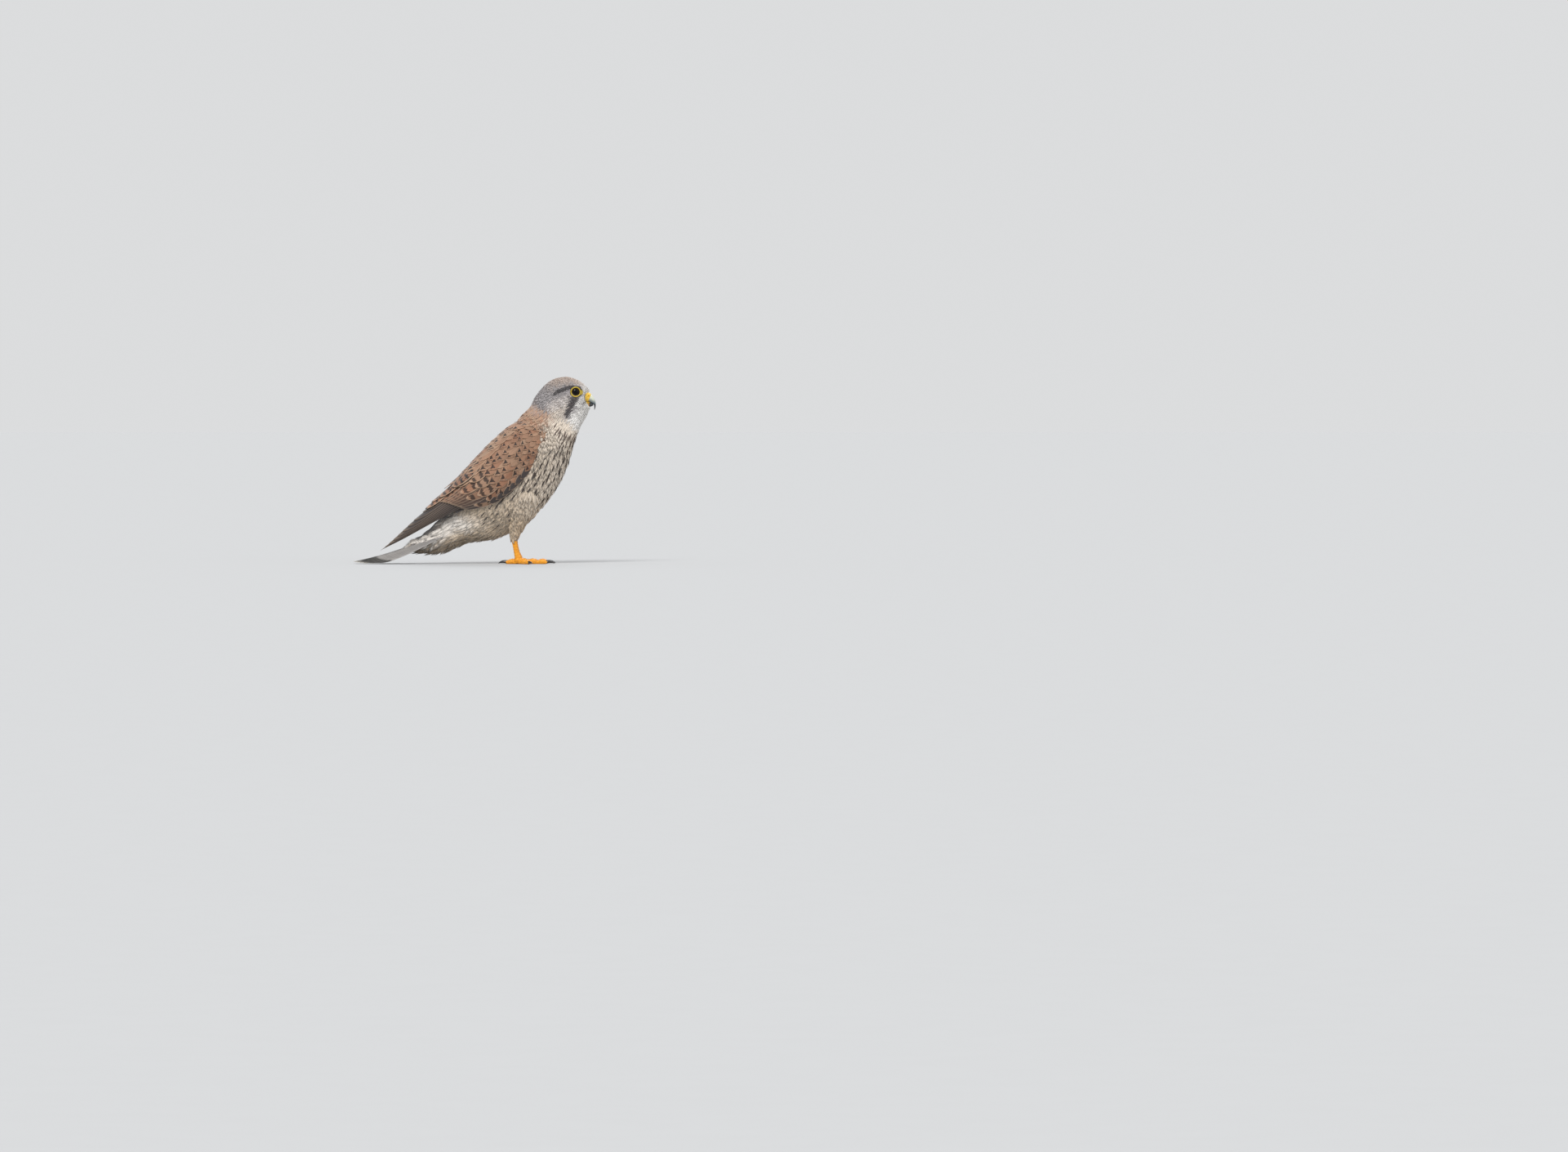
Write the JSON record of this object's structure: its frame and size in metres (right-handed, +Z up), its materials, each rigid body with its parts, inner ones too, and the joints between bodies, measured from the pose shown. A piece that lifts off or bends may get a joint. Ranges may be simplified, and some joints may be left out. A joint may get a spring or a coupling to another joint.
{
  "type": "common kestrel, life-size still model",
  "caption": "Life-size still model of an adult male kestrel standing on level ground, its closed tail laid on the ground behind it.",
  "frame": {"origin": "on the ground, under the middle of the bird's box", "axes": "+X the way the bird faces, +Y its left side, +Z up"},
  "size_m": [0.2614, 0.0802, 0.202],
  "materials": {
    "grey_head": "short grey head feathers with fine dark streaks, a dark moustache and a pale throat",
    "nape": "orange chestnut feathers at the back of the neck, grading to buff in front",
    "underparts": "soft cream and buff feathers with dark brown drop streaks",
    "wing": "rufous vanes with small dark spots, and blackish brown flight feathers with thin pale edges",
    "grey_tail": "grey vanes with faint bars, a black band near the end and whitish tips",
    "eye": "wet dark brown eye, nearly black",
    "eye_ring": "bare yellow skin",
    "cere": "bare waxy yellow skin",
    "bill": "horn, blue grey at the base and black at the hook",
    "foot": "yellow orange scaled skin",
    "claw": "polished black horn"
  },
  "bodies": {
    "root": {"bill_lower": "bill", "bill_upper": "bill", "cere": "cere", "claw_hind_left": "claw", "claw_hind_right": "claw", "claw_inner_left": "claw", "claw_inner_right": "claw", "claw_middle_left": "claw", "claw_middle_right": "claw", "claw_outer_left": "claw", "claw_outer_right": "claw", "eye_left": "eye", "eye_right": "eye", "eyelid_left": "eye_ring", "eyelid_right": "eye_ring", "head": "grey_head", "neck": "nape", "shank_left": "foot", "shank_right": "foot", "tail": "grey_tail", "thigh_left": "underparts", "thigh_right": "underparts", "toe_hind_left": "foot", "toe_hind_right": "foot", "toe_inner_left": "foot", "toe_inner_right": "foot", "toe_middle_left": "foot", "toe_middle_right": "foot", "toe_outer_left": "foot", "toe_outer_right": "foot", "torso": "underparts", "wing_left": "wing", "wing_right": "wing"}
  },
  "joints": []
}
